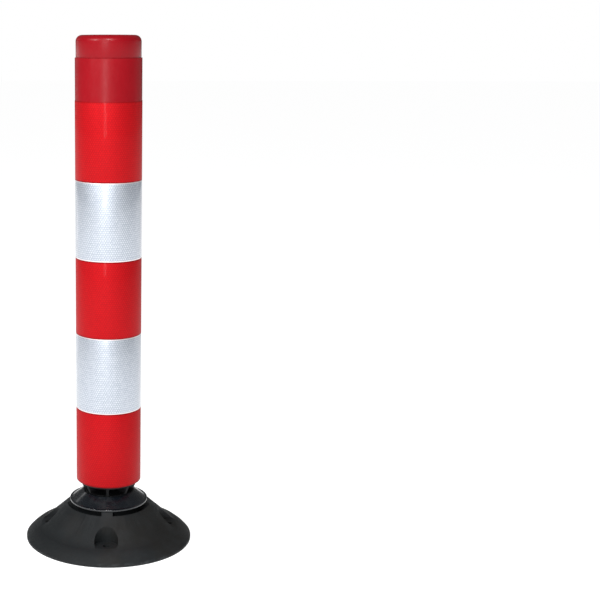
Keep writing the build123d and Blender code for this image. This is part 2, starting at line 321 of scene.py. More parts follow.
def smooth(piece: Piece, angle: float = 32.0) -> None:
    """Shades a piece smooth, apart from its sharp edges.

    Args:
        piece: The piece.
        angle: Edges that turn by more than this many degrees stay sharp.
    """
    pick(piece)
    bpy.ops.object.shade_smooth_by_angle(angle=math.radians(angle))


def delete_faces(piece: Piece, unwanted: Callable[[bpy.types.MeshPolygon], bool]) -> None:
    """Deletes some of a piece's faces.

    Args:
        piece: The piece.
        unwanted: A test that is true for a face to delete.
    """
    pick(piece)
    bpy.ops.object.mode_set(mode="EDIT")
    bpy.ops.mesh.select_mode(type="FACE")
    bpy.ops.mesh.select_all(action="DESELECT")
    bpy.ops.object.mode_set(mode="OBJECT")
    for face in piece.data.polygons:
        face.select = unwanted(face)
    bpy.ops.object.mode_set(mode="EDIT")
    bpy.ops.mesh.delete(type="FACE")
    bpy.ops.mesh.select_mode(type="VERT")
    bpy.ops.object.mode_set(mode="OBJECT")


def sectors(name: str, radii: Point, heights: Point, webs: int, web: float) -> Piece:
    """A cutting tool: a ring in sectors, with a straight web of material left between them.

    Args:
        name: The tool's name.
        radii: The ring's inner and outer radius.
        heights: The heights of its lower and upper face.
        webs: How many webs stand round the axis, an even number.
        web: The width of a web.

    Returns:
        The tool.
    """
    tool = turned(name, ring_outline(radii, heights))
    middle = (0.0, 0.0, sum(heights) / 2)
    size = (3 * radii[1], web, 2 * (heights[1] - heights[0]))  # longer and taller than the ring
    cut(tool, *[bar(f"{name}_web", size, middle, 360 / webs * i) for i in range(webs // 2)])
    return tool


def wire(name: str, path: Sequence[Place], radius: float, sides: int) -> Piece:
    """A round wire along a path, as a closed mesh.

    Args:
        name: The piece's name.
        path: Points along the middle of the wire.
        radius: The wire's radius.
        sides: The number of facets round it, a multiple of four.

    Returns:
        The wire.
    """
    curve = bpy.data.curves.new(name, "CURVE")
    curve.dimensions = "3D"
    curve.bevel_depth = radius
    curve.bevel_resolution = sides // 4 - 1
    curve.use_fill_caps = True
    spline = curve.splines.new("POLY")
    spline.points.add(len(path) - 1)
    for point, place in zip(spline.points, path):
        point.co = (*place, 1)
    piece = bpy.data.objects.new(name, curve)
    bpy.context.scene.collection.objects.link(piece)
    pick(piece)
    bpy.ops.object.convert(target="MESH")
    smooth(piece, 50)
    return piece


def joined(name: str, pieces: Sequence[Piece]) -> Piece:
    """Joins meshes into one piece.

    Args:
        name: The new piece's name.
        pieces: The meshes.

    Returns:
        The piece.
    """
    pick(pieces[0])
    for piece in pieces:
        piece.select_set(True)
    bpy.ops.object.join()
    pieces[0].name = name
    return pieces[0]


def stand_in_for(piece: Piece, node: str, body: str, finish: Finish) -> None:
    """Puts a finished piece in the place of a CAD node.

    Args:
        piece: The finished piece.
        node: The CAD node that it replaces.
        body: The body that it rides on.
        finish: What it is made of.
    """
    dress(piece, finish)
    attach(piece, body)
    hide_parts(node)
    log.info("%s stands for %s on %s", piece.name, node, body)


def dress(piece: Piece, finish: Finish) -> None:
    """Gives a piece one finish all over.

    Args:
        piece: The piece.
        finish: What it is made of.
    """
    piece.data.materials.clear()
    piece.data.materials.append(finish.material())
    log.info("%s is made of %s", piece.name, finish.name)


# ---------------------------------------------------------------------------------------------------
# Finishes
# ---------------------------------------------------------------------------------------------------
def linear(colour: str) -> tuple[float, float, float, float]:
    """Turns a colour into the light that it stands for.

    Args:
        colour: The sRGB colour as a hash mark and six hex digits.

    Returns:
        Linear red, green, blue and alpha.
    """
    parts = [int(colour[i : i + 2], 16) / 255 for i in (1, 3, 5)]
    red, green, blue = [c / 12.92 if c <= 0.04045 else ((c + 0.055) / 1.055) ** 2.4 for c in parts]
    return (red, green, blue, 1.0)


def per_metre(size_mm: float) -> float:
    """The scale at which a texture's feature is about that many millimetres across."""
    return 1000 / size_mm


def add_node(
    tree: Tree,
    kind: str,
    inputs: dict[str | int, Any] | None = None,
    **settings: Any,
) -> Node:
    """Adds a node with its settings, values and links.

    Args:
        tree: The material's node tree.
        kind: The node's type, without the leading "ShaderNode".
        inputs: A value or another node's output for each input named or numbered.
        settings: The node's own properties.

    Returns:
        The new node.
    """
    node = tree.nodes.new(f"ShaderNode{kind}")
    for key, value in settings.items():
        setattr(node, key, value)
    for key, value in (inputs or {}).items():
        if isinstance(value, bpy.types.NodeSocket):
            tree.links.new(value, node.inputs[key])
        else:
            node.inputs[key].default_value = value
    return node


@dataclass(frozen=True)
class Blotches:
    """Patches of a second colour: their size, how ragged they are and how far they cover the first."""

    colour: str
    size_mm: float
    detail: float = 4.0
    ragged: float = 0.55
    start: float = 0.45  # level of the noise where a patch begins
    full: float = 0.7  # level where it is strongest
    strength: float = 0.6


@dataclass(frozen=True)
class Finish:
    """What every finish has: a name, a colour and how rough it is."""

    name: str
    colour: str
    roughness: float

    def material(self) -> bpy.types.Material:
        """Makes the finish's material the first time that it is asked for.

        Returns:
            The material.
        """
        found = bpy.data.materials.get(self.name)
        if found:
            return found
        material = bpy.data.materials.new(self.name)
        material.use_nodes = True
        material.diffuse_color = linear(self.colour)
        tree = material.node_tree
        tree.nodes.clear()
        base = {"Base Color": linear(self.colour), "Roughness": self.roughness}
        shader = add_node(tree, "BsdfPrincipled", base)
        add_node(tree, "OutputMaterial", {"Surface": shader.outputs["BSDF"]})
        self.lay_on(tree, shader)
        return material

    def lay_on(self, tree: Tree, shader: Node) -> None:
        """Adds the finish's own detail to its shader."""
        raise NotImplementedError

    def place(self, tree: Tree, stretch: Place = (1, 1, 1)) -> Any:
        """Returns the object's own coordinates in metres, stretched if asked."""
        coords = add_node(tree, "TexCoord").outputs["Object"]
        return add_node(tree, "Mapping", {"Vector": coords, "Scale": stretch}).outputs["Vector"]

    def noise(self, tree: Tree, where: Any, size_mm: float, detail: float, ragged: float = 0.55) -> Any:
        """Returns a noise whose blotches are about that many millimetres across."""
        inputs = {"Vector": where, "Scale": per_metre(size_mm), "Detail": detail, "Roughness": ragged}
        return add_node(tree, "TexNoise", inputs, noise_dimensions="3D").outputs["Fac"]

    def ramp(self, tree: Tree, value: Any, low: float, high: float, to: Point) -> Any:
        """Returns a value whose stretch from low to high is laid softly on the stretch `to`."""
        inputs = {"Value": value, "From Min": low, "From Max": high, "To Min": to[0], "To Max": to[1]}
        return add_node(tree, "MapRange", inputs, interpolation_type="SMOOTHSTEP").outputs["Result"]

    def blend(self, tree: Tree, mask: Any, first: Any, second: Any) -> Any:
        """Returns the first colour where the mask is 0 and the second where it is 1."""
        node = add_node(tree, "Mix", {0: mask, 6: first, 7: second}, data_type="RGBA")
        return node.outputs[2]

    def blotched(self, tree: Tree, where: Any, under: Any, patches: Blotches) -> Any:
        """Returns a colour with patches of another one over it.

        Args:
            tree: The material's node tree.
            where: The place that the patches are laid out by.
            under: The colour below them.
            patches: What they are like.

        Returns:
            The mixed colour.
        """
        cloud = self.noise(tree, where, patches.size_mm, patches.detail, patches.ragged)
        mask = self.ramp(tree, cloud, patches.start, patches.full, (0, patches.strength))
        return self.blend(tree, mask, under, linear(patches.colour))

    def roughen(self, tree: Tree, shader: Node, value: Any, stretch: Point, change: Point) -> None:
        """Lets the roughness follow a value.

        Args:
            tree: The material's node tree.
            shader: The finish's shader.
            value: The value that it follows.
            stretch: The value's lowest and highest level.
            change: What is added to the finish's own roughness at each of them.
        """
        to = (self.roughness + change[0], self.roughness + change[1])
        tree.links.new(self.ramp(tree, value, *stretch, to), shader.inputs["Roughness"])

    def bump(self, tree: Tree, height: Any, depth_mm: float, under: Any = None) -> Any:
        """Adds relief to a surface.

        Args:
            tree: The material's node tree.
            height: The height of the relief, from 0 to 1.
            depth_mm: How deep it is.
            under: The normal of other relief that it lies on.

        Returns:
            The surface normal.
        """
        inputs = {"Height": height, "Strength": 1.0, "Distance": depth_mm * MM}
        if under is not None:
            inputs["Normal"] = under
        return add_node(tree, "Bump", inputs).outputs["Normal"]


@dataclass(frozen=True)
class MouldedRubber(Finish):
    """Black compression-moulded rubber: a dull, dense grey with a fine sandy grain and a dusty bloom.

    Its rim is rubbed a little paler in places, which is how worn rubber shows.
    """

    warm: Blotches = Blotches("#1a1917", 70.0, 3.0, start=0.42, full=0.62, strength=0.8)
    bloom: Blotches = Blotches("#272b2e", 38.0, 5.0, full=0.75, strength=0.4)
    scuff: str = "#383c3e"
    scuff_mm: float = 9.0
    grain_mm: float = 1.1  # the real grain of 0.4 mm is too fine to show, so it is drawn coarser
    grain_depth_mm: float = 0.4
    wave_mm: float = 14.0
    wave_depth_mm: float = 0.25
    rim_radius: float = 125 * MM
    rim_width: float = 3 * MM

    def lay_on(self, tree: Tree, shader: Node) -> None:
        """Adds grain, bloom and rubbed rims.

        Args:
            tree: The material's node tree.
            shader: The finish's shader.
        """
        where = self.place(tree)
        base = self.blotched(tree, where, linear(self.colour), self.warm)
        dusty = self.blotched(tree, where, base, self.bloom)
        parts = add_node(tree, "SeparateXYZ", {"Vector": where})
        level = {"X": parts.outputs["X"], "Y": parts.outputs["Y"]}
        plan = add_node(tree, "CombineXYZ", level).outputs["Vector"]
        reach = add_node(tree, "VectorMath", {0: plan}, operation="LENGTH").outputs["Value"]
        rim = self.ramp(tree, reach, self.rim_radius - self.rim_width, self.rim_radius, (0, 1))
        patches = self.ramp(tree, self.noise(tree, where, self.scuff_mm, 4), 0.5, 0.68, (0, 0.7))
        worn = add_node(tree, "Math", {0: rim, 1: patches}, operation="MULTIPLY").outputs["Value"]
        tree.links.new(self.blend(tree, worn, dusty, linear(self.scuff)), shader.inputs["Base Color"])
        grain = self.noise(tree, where, self.grain_mm, 4, 0.7)
        self.roughen(tree, shader, grain, (0.3, 0.7), (-0.08, 0.08))
        wavy = self.bump(tree, self.noise(tree, where, self.wave_mm, 2), self.wave_depth_mm)
        tree.links.new(self.bump(tree, grain, self.grain_depth_mm, wavy), shader.inputs["Normal"])
        shader.inputs["Specular IOR Level"].default_value = 0.3


@dataclass(frozen=True)
class PolishedPlastic(Finish):
    """Glossy injection-moulded black plastic: a clear reflection, broken by hairline rubbing marks."""

    mark_mm: float = 2.1
    haze_mm: float = 16.0
    dust: Blotches = Blotches("#1c1e20", 3.0, 5.0, 0.7, start=0.56, full=0.8, strength=0.35)
    wave_mm: float = 7.0
    wave_depth_mm: float = 0.03

    def lay_on(self, tree: Tree, shader: Node) -> None:
        """Adds hairlines and a slight haze.

        Args:
            tree: The material's node tree.
            shader: The finish's shader.
        """
        where = self.place(tree)
        haze = self.noise(tree, where, self.haze_mm, 4)
        marks = self.noise(tree, self.place(tree, (1, 1, 9)), self.mark_mm, 6, 0.75)
        mixed = add_node(tree, "Math", {0: haze, 1: marks}, operation="MULTIPLY").outputs["Value"]
        rough = self.ramp(tree, mixed, 0.15, 0.45, (self.roughness * 0.7, self.roughness * 2.0))
        tree.links.new(rough, shader.inputs["Roughness"])
        dusty = self.blotched(tree, where, linear(self.colour), self.dust)
        tree.links.new(dusty, shader.inputs["Base Color"])
        wave = self.noise(tree, where, self.wave_mm, 2)
        tree.links.new(self.bump(tree, wave, self.wave_depth_mm), shader.inputs["Normal"])
        shader.inputs["Coat Weight"].default_value = 0.5
        shader.inputs["Coat Roughness"].default_value = 0.08


@dataclass(frozen=True)
class GrainedPlastic(Finish):
    """Black moulded plastic with a spark-eroded texture: satin, finely pitted, paler where it is rubbed."""

    pit_mm: float = 0.8
    pit_depth_mm: float = 0.06
    rubbed: Blotches = Blotches("#1c1e20", 12.0)

    def lay_on(self, tree: Tree, shader: Node) -> None:
        """Adds the pitted texture.

        Args:
            tree: The material's node tree.
            shader: The finish's shader.
        """
        where = self.place(tree)
        pits = self.noise(tree, where, self.pit_mm, 3, 0.65)
        tree.links.new(self.bump(tree, pits, self.pit_depth_mm), shader.inputs["Normal"])
        tone = self.blotched(tree, where, linear(self.colour), self.rubbed)
        tree.links.new(tone, shader.inputs["Base Color"])
        self.roughen(tree, shader, pits, (0.35, 0.65), (-0.06, 0.1))


@dataclass(frozen=True)
class ExtrudedPlastic(Finish):
    """Satin coloured plastic, extruded or moulded: an even colour, a soft highlight, faint draw lines."""

    shade: Blotches = Blotches("#800a14", 55.0, start=0.4, full=0.75, strength=0.35)
    line_mm: float = 1.6
    line_depth_mm: float = 0.035
    along: Place = (1, 1, 0.012)  # draw lines run up the tube
    peel_mm: float = 2.4
    peel_depth_mm: float = 0.02
    rub_mm: float = 6.0

    def lay_on(self, tree: Tree, shader: Node) -> None:
        """Adds draw lines, orange peel and a slight cloudiness.

        Args:
            tree: The material's node tree.
            shader: The finish's shader.
        """
        where = self.place(tree)
        cloudy = self.blotched(tree, where, linear(self.colour), self.shade)
        tree.links.new(cloudy, shader.inputs["Base Color"])
        lines = self.noise(tree, self.place(tree, self.along), self.line_mm, 3, 0.6)
        peel = self.noise(tree, where, self.peel_mm, 2)
        relief = self.bump(tree, lines, self.line_depth_mm)
        tree.links.new(self.bump(tree, peel, self.peel_depth_mm, relief), shader.inputs["Normal"])
        self.roughen(tree, shader, self.noise(tree, where, self.rub_mm, 6, 0.7), (0.4, 0.7), (0, 0.1))
        shader.inputs["Specular IOR Level"].default_value = 0.2


class FilmColour(Enum):
    """The two colours of film: cell, seal between cells, painted shade for a prism facet, cut edge and
    painted shadow line at the lap, for each.
    """

    RED = ("#c21219", "#ad0e16", "#b01018", "#8a0a10", "#7c080e")
    WHITE = ("#d8dde5", "#abb4c1", "#bcc4d0", "#fff2f2", "#8d96a3")


@dataclass(frozen=True)
class ReflectiveFilm(Finish):
    """Prismatic reflective film: tiny corner-cube prisms in honeycomb cells, under a smooth clear face.

    The prisms give the film a faint glitter, partly from their relief and partly painted as a darker shade
    on some facets of each cell, and a pearly sheen; the seals between the cells are duller, and the clear
    face gives a sharp reflection on top of both.
    """

    tint: FilmColour = FilmColour.WHITE
    sheen: float = 0.3
    clear_face: float = 0.8
    specular: float = 0.5
    cell_mm: float = 3.5  # from flat to flat of a cell
    seal: float = 0.09  # half the width of a seal, as a share of a cell
    radius: float = 48.35 * MM
    prism_depth_mm: float = 0.06
    lowest_edge_mm: float = 92.5
    band_mm: float = 113.0
    pitch_mm: float = 113.3
    edge_mm: float = 2.0
    lap_mm: float = 12.5
    ripple_mm: float = 30.0
    ripple_depth_mm: float = 0.06
    scuff_mm: float = 2.0

    def lay_on(self, tree: Tree, shader: Node) -> None:
        """Adds the honeycomb, the prisms in each cell with a painted darker shade on some facets, the cut
        edges, a painted shadow line along the lap's edges and the clear face.

        Args:
            tree: The material's node tree.
            shader: The finish's shader.
        """
        # deep is a painted shade for some prism facets, and lap is a painted shadow line along the lap's
        # edges
        cell, sealed, deep, edge, lap = (linear(c) for c in self.tint.value)
        cells_round = round(2 * math.pi * self.radius / (self.cell_mm * MM))
        coords = add_node(tree, "TexCoord").outputs["Object"]
        parts = add_node(tree, "SeparateXYZ", {"Vector": coords})
        turn = add_node(tree, "Math", {0: parts.outputs["Y"], 1: parts.outputs["X"]}, operation="ARCTAN2")
        per_radian = cells_round / (2 * math.pi)
        across = add_node(tree, "Math", {0: turn.outputs[0], 1: per_radian}, operation="MULTIPLY")
        cells_up = per_metre(self.cell_mm)
        up = add_node(tree, "Math", {0: parts.outputs["Z"], 1: cells_up}, operation="MULTIPLY")
        flat = add_node(tree, "CombineXYZ", {"X": across.outputs[0], "Y": up.outputs[0]}).outputs["Vector"]
        local = self.cell_place(tree, flat)
        size = add_node(tree, "VectorMath", {0: local}, operation="ABSOLUTE").outputs["Vector"]
        half = add_node(tree, "SeparateXYZ", {"Vector": size}).outputs["X"]
        slant = add_node(tree, "VectorMath", {0: size, 1: (*NEXT_ROW, 0)}, operation="DOT_PRODUCT")
        sides = {0: half, 1: slant.outputs["Value"]}
        reach = add_node(tree, "Math", sides, operation="MAXIMUM").outputs["Value"]
        border = self.ramp(tree, reach, 0.5 - 1.6 * self.seal, 0.5 - 0.8 * self.seal, (0, 1))
        facet, depth = self.prism(tree, local)
        number = self.cell_number(tree, flat, local)
        speckle = add_node(tree, "TexWhiteNoise", {"Vector": number}).outputs["Value"]
        # Painted shade: the facets picked here are painted in the darker colour, by an amount that differs
        # from cell to cell
        painted_facet_shade = add_node(tree, "Math", {0: facet, 1: speckle}, operation="MULTIPLY").outputs["Value"]
        inside = self.blend(tree, painted_facet_shade, cell, deep)
        surface = self.blend(tree, border, inside, sealed)
        trimmed = self.blend(tree, self.edge_mask(tree, parts.outputs["Z"]), surface, edge)
        # Painted shadow: a darker line along both edges of the lap at the back
        lap_shadowed = self.blend(tree, self.lap_shadow_mask(tree, parts), trimmed, lap)
        tree.links.new(lap_shadowed, shader.inputs["Base Color"])
        flatness = add_node(tree, "Math", {0: 1.0, 1: border}, operation="SUBTRACT").outputs["Value"]
        height = add_node(tree, "Math", {0: depth, 1: flatness}, operation="MULTIPLY").outputs["Value"]
        tree.links.new(self.bump(tree, height, self.prism_depth_mm), shader.inputs["Normal"])
        ripple = self.noise(tree, coords, self.ripple_mm, 2)
        tree.links.new(self.bump(tree, ripple, self.ripple_depth_mm), shader.inputs["Coat Normal"])
        scuffs = self.noise(tree, self.place(tree, (1, 1, 4)), self.scuff_mm, 6, 0.75)
        self.roughen(tree, shader, scuffs, (0.5, 0.75), (0, 0.15))
        shader.inputs["Metallic"].default_value = self.sheen
        shader.inputs["Specular IOR Level"].default_value = self.specular
        shader.inputs["Coat Weight"].default_value = self.clear_face
        shader.inputs["Coat Roughness"].default_value = 0.08

    def edge_mask(self, tree: Tree, height: Any) -> Any:
        """A mask of the bands' cut edges.

        Args:
            tree: The material's node tree.
            height: The height above the ground.

        Returns:
            A value that is strong along the edges and 0 elsewhere.
        """
        start = self.lowest_edge_mm * MM
        lift = add_node(tree, "Math", {0: height, 1: start}, operation="SUBTRACT").outputs["Value"]
        inputs = {0: lift, 1: self.pitch_mm * MM, 2: 0.0}
        within = add_node(tree, "Math", inputs, operation="WRAP").outputs["Value"]
        middle = self.band_mm * MM / 2
        away = add_node(tree, "Math", {0: within, 1: middle}, operation="SUBTRACT").outputs["Value"]
        far = add_node(tree, "Math", {0: away}, operation="ABSOLUTE").outputs["Value"]
        width = self.edge_mm * MM
        return self.ramp(tree, far, middle - width, middle - 0.4 * width, (0, 0.8))

    def lap_shadow_mask(self, tree: Tree, parts: Node) -> Any:
        """A mask of the painted shadow line along the two edges of the lap at the back.

        Args:
            tree: The material's node tree.
            parts: The node that gives the place's X, Y and Z.

        Returns:
            A value that is strong along the edges and 0 elsewhere.
        """
        away = add_node(tree, "Math", {0: parts.outputs["X"]}, operation="ABSOLUTE").outputs["Value"]
        edge = self.lap_mm * MM / 2
        line = add_node(tree, "Math", {0: away, 1: edge}, operation="SUBTRACT").outputs["Value"]
        off = add_node(tree, "Math", {0: line}, operation="ABSOLUTE").outputs["Value"]
        near = self.ramp(tree, off, 0.25 * MM, 0.7 * MM, (0.8, 0))
        sign = {0: parts.outputs["Y"], 1: 0.0}
        behind = add_node(tree, "Math", sign, operation="GREATER_THAN").outputs["Value"]
        return add_node(tree, "Math", {0: near, 1: behind}, operation="MULTIPLY").outputs["Value"]

    def cell_place(self, tree: Tree, flat: Any) -> Any:
        """The place within a honeycomb cell.

        Args:
            tree: The material's node tree.
            flat: The place on the unrolled film, in cells.

        Returns:
            The same place, measured from the middle of the nearest cell.
        """
        limits = {1: (*NEXT_ROW, 1.0), 2: (-NEXT_ROW[0], -NEXT_ROW[1], -1.0)}
        first = add_node(tree, "VectorMath", {0: flat, **limits}, operation="WRAP").outputs["Vector"]
        step = (*NEXT_ROW, 0)
        moved = add_node(tree, "VectorMath", {0: flat, 1: step}, operation="ADD").outputs["Vector"]
        second = add_node(tree, "VectorMath", {0: moved, **limits}, operation="WRAP").outputs["Vector"]
        far_a = add_node(tree, "VectorMath", {0: first}, operation="LENGTH").outputs["Value"]
        far_b = add_node(tree, "VectorMath", {0: second}, operation="LENGTH").outputs["Value"]
        nearer = add_node(tree, "Math", {0: far_a, 1: far_b}, operation="LESS_THAN").outputs["Value"]
        node = add_node(tree, "Mix", {0: nearer, 4: second, 5: first}, data_type="VECTOR")
        return node.outputs[1]

    def cell_number(self, tree: Tree, flat: Any, local: Any) -> Any:
        """The middle of the cell, which is the same all over it and differs from cell to cell.

        Args:
            tree: The material's node tree.
            flat: The place on the unrolled film, in cells.
            local: The place within the cell.

        Returns:
            The cell's middle.
        """
        middle = add_node(tree, "VectorMath", {0: flat, 1: local}, operation="SUBTRACT").outputs["Vector"]
        steps = (*NEXT_ROW, 1.0)
        return add_node(tree, "VectorMath", {0: middle, 1: steps}, operation="SNAP").outputs["Vector"]

    def prism(self, tree: Tree, local: Any) -> tuple[Any, Any]:
        """The corner of a cube in each cell.

        Args:
            tree: The material's node tree.
            local: The place within the cell.

        Returns:
            A value that differs between the corner's three facets and picks the facets that are painted in
            a darker shade, and the depth of the corner.
        """
        slopes = []
        for i in range(3):
            turn = math.radians(90 + 120 * i)
            way = (math.cos(turn), math.sin(turn), 0)
            slope = add_node(tree, "VectorMath", {0: local, 1: way}, operation="DOT_PRODUCT")
            slopes.append(slope.outputs["Value"])
        side = add_node(tree, "Math", {0: slopes[0], 1: slopes[1]}, operation="MAXIMUM").outputs["Value"]
        depth = add_node(tree, "Math", {0: side, 1: slopes[2]}, operation="MAXIMUM").outputs["Value"]
        facet = add_node(tree, "Math", {0: slopes[0], 1: slopes[2]}, operation="GREATER_THAN")
        return facet.outputs["Value"], depth


@dataclass(frozen=True)
class WorkedMetal(Finish):
    """Bare or plated metal: a soft metallic sheen with tooling lines, stained a little in patches."""

    stain: str = "#8d8a80"
    stain_mm: float = 5.0
    line_mm: float = 0.5
    line_depth_mm: float = 0.03
    along: Place = (1, 1, 6)

    def lay_on(self, tree: Tree, shader: Node) -> None:
        """Adds tooling lines and stains.

        Args:
            tree: The material's node tree.
            shader: The finish's shader.
        """
        shader.inputs["Metallic"].default_value = 1.0
        stains = Blotches(self.stain, self.stain_mm, 5.0, 0.65, strength=0.7)
        stained = self.blotched(tree, self.place(tree), linear(self.colour), stains)
        tree.links.new(stained, shader.inputs["Base Color"])
        lines = self.noise(tree, self.place(tree, self.along), self.line_mm, 4, 0.7)
        tree.links.new(self.bump(tree, lines, self.line_depth_mm), shader.inputs["Normal"])
        self.roughen(tree, shader, lines, (0.3, 0.7), (-0.07, 0.1))


@dataclass(frozen=True)
class PaleFloor(Finish):
    """A white light table: a matt top with the faintest mottling, lit from below."""

    glow: float = 0.93
    mottle: Blotches = Blotches("#a6a7a8", 300.0, 3.0, start=0.3, full=0.7, strength=0.3)

    def lay_on(self, tree: Tree, shader: Node) -> None:
        """Adds a faint mottling and the light from below.

        Args:
            tree: The material's node tree.
            shader: The finish's shader.
        """
        tone = self.blotched(tree, self.place(tree), linear(self.colour), self.mottle)
        tree.links.new(tone, shader.inputs["Base Color"])
        shader.inputs["Specular IOR Level"].default_value = 0.1
        shader.inputs["Emission Color"].default_value = linear("#ffffff")
        shader.inputs["Emission Strength"].default_value = self.glow


RUBBER = MouldedRubber("moulded_black_rubber", "#15191b", 0.66)
POLISHED_BLACK = PolishedPlastic("polished_black_plastic", "#0c1117", 0.28)
GRAINED_BLACK = GrainedPlastic("grained_black_plastic", "#0e0f11", 0.42)
TUBE_RED = ExtrudedPlastic("extruded_red_plastic", "#920b17", 0.34)
CAP_RED = ExtrudedPlastic("moulded_red_plastic", "#8e0a16", 0.32, along=(1, 1, 1))
RED_FILM = ReflectiveFilm(
    "red_prismatic_film", FilmColour.RED.value[0], 0.55, tint=FilmColour.RED, clear_face=0.05, specular=0.1
)
WHITE_FILM = ReflectiveFilm(
    "white_prismatic_film", FilmColour.WHITE.value[0], 0.5, tint=FilmColour.WHITE, sheen=0.8
)
ZINC = WorkedMetal("zinc_plated_steel", "#c4c3bd", 0.34)
SPRING_STEEL = WorkedMetal("oiled_spring_steel", "#77777a", 0.3, stain="#55524f")
ROPE_STEEL = WorkedMetal("galvanised_rope_wire", "#b4b6b8", 0.36, stain="#86888a", line_mm=0.8)
BRONZE = WorkedMetal("sintered_bronze", "#b08a4e", 0.42, stain="#7d5f35", along=(1, 1, 1))
ALUMINIUM = WorkedMetal("pressed_aluminium", "#cfd1d3", 0.38, stain="#a7a9ac")
FLOOR = PaleFloor("pale_studio_floor", "#acadae", 0.9)


# ---------------------------------------------------------------------------------------------------
# The base
# ---------------------------------------------------------------------------------------------------
@dataclass
class Base:
    """The parts that stay on the ground: rubber moulding, seat ring, anchor plate, screws and bush."""

    rim_height: float = 3 * MM
    knee: Point = (100 * MM, 20 * MM)
    skirt_bulge: float = 2.2 * MM
    skirt_steps: int = 4
    knee_reach: float = 7 * MM
    knee_steps: int = 8
    shoulder: Point = (62.52 * MM, 53.5 * MM)
    bridge_end: float = 56.93 * MM
    collar_radius: float = 49.02 * MM
    trough_floor: float = 44 * MM
    bridge_width: float = 16.5 * MM
    recess_radius: float = 60.02 * MM
    cup_gap: float = 0.2 * MM
    fixings: int = 4
    fixing_circle: float = 92 * MM
    fixing_hole: float = 5 * MM
    pocket_radius: float = 17.5 * MM
    pocket_floor: float = 19.5 * MM
    sole_inner: float = 70.02 * MM
    sole_outer: float = 112 * MM
    sole_depth: float = 8 * MM
    sole_web: float = 30 * MM
    lip: Point = (38.12 * MM, 73 * MM)
    lip_radius: float = 1.5 * MM
    lip_fall: float = 38.0
    cone_lean: float = 24.0  # degrees between the seat and the axis
    seat_bottom: float = 62 * MM
    cup_wall: float = 6.4 * MM
    flange_top: float = 61.5 * MM
    flange_thickness: float = 3 * MM
    cup_floor_top: float = 37 * MM
    stem_clearance: float = 0.55 * MM
    rubber_ease: float = 0.9 * MM
    ring_ease: float = 0.7 * MM

    def build(self) -> None:
        """Builds the base's two mouldings and dresses the rest."""
        stand_in_for(self.rubber(), "rubber_base", "base", RUBBER)
        stand_in_for(self.ring(), "seat_ring", "base", POLISHED_BLACK)
        for node, finish in (("anchor_plate", ZINC), ("plate_screws", ZINC), ("swivel_bush", BRONZE)):
            dress(bpy.data.objects[node], finish)

    def cup_radius(self) -> float:
        """The inner radius of the seat ring's cup."""
        lean = math.radians(self.cone_lean)
        seat_depth = self.lip[1] - self.seat_bottom
        return self.lip[0] - self.lip_radius / math.cos(lean) - seat_depth * math.tan(lean)

    def rubber(self) -> Piece:
        """Turns the rubber moulding, then cuts its trough, pockets, holes and sole.

        Returns:
            The moulding.
        """
        low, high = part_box("rubber_base")
        rim, top, roof = high[0], high[2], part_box("anchor_plate")[1][2]
        bore = self.cup_radius() + self.cup_wall + self.cup_gap
        skirt = bowed((rim, self.rim_height), self.knee, self.skirt_bulge, self.skirt_steps)
        outline = [
            (self.recess_radius, roof),
            (self.recess_radius, low[2]),
            (rim, low[2]),
            *skirt[:-1],
            *eased_corner(skirt[-2], self.knee, self.shoulder, self.knee_reach, self.knee_steps),
            self.shoulder,
            (self.bridge_end, top),
            (bore, top),
            (bore, roof),
        ]
        piece = turned("rubber_moulding", outline)
        gap = (self.collar_radius, self.shoulder[0])
        trough = sectors("trough_tool", gap, (self.trough_floor, 2 * top), self.fixings, self.bridge_width)
        hollow = (self.sole_inner, self.sole_outer)
        depths = (-self.sole_depth, self.sole_depth)
        sole = sectors("sole_tool", hollow, depths, 2 * self.fixings, self.sole_web)
        cut(piece, trough, sole)
        for i in range(self.fixings):
            turn = math.radians(360 / self.fixings * i)
            at = (self.fixing_circle * math.cos(turn), self.fixing_circle * math.sin(turn))
            pocket = rod("pocket_tool", self.pocket_radius, self.pocket_floor, 2 * top, at)
            hole = rod("hole_tool", self.fixing_hole, -top, top, at, 32)
            cut(piece, pocket, hole)
        eased(piece, self.rubber_ease)
        return piece

    def ring(self) -> Piece:
        """Turns the seat ring: its flange, sloped top, rounded lip, tapered seat and cup.

        Returns:
            The ring.
        """
        low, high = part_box("seat_ring")
        flange = high[0]
        cup = self.cup_radius()
        hole = min(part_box("swivel_bush")[1][0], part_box("swivel_stud")[1][0]) + self.stem_clearance
        fall = math.radians(self.lip_fall)
        drop = self.lip[1] + self.lip_radius * math.cos(fall) - self.flange_top
        slope_end = self.lip[0] + self.lip_radius * math.sin(fall) + drop / math.tan(fall)
        outline = [
            (hole, low[2]),
            (cup + self.cup_wall, low[2]),
            (cup + self.cup_wall, self.flange_top - self.flange_thickness),
            (flange, self.flange_top - self.flange_thickness),
            (flange, self.flange_top),
            (slope_end, self.flange_top),
            *arc(self.lip, self.lip_radius, 90 - self.lip_fall, 180 - self.cone_lean, 10),
            (cup, self.seat_bottom),
            (cup, self.cup_floor_top),
            (hole, self.cup_floor_top),
        ]
        piece = turned("seat_ring_moulding", outline)
        eased(piece, self.ring_ease, 4)
        return piece


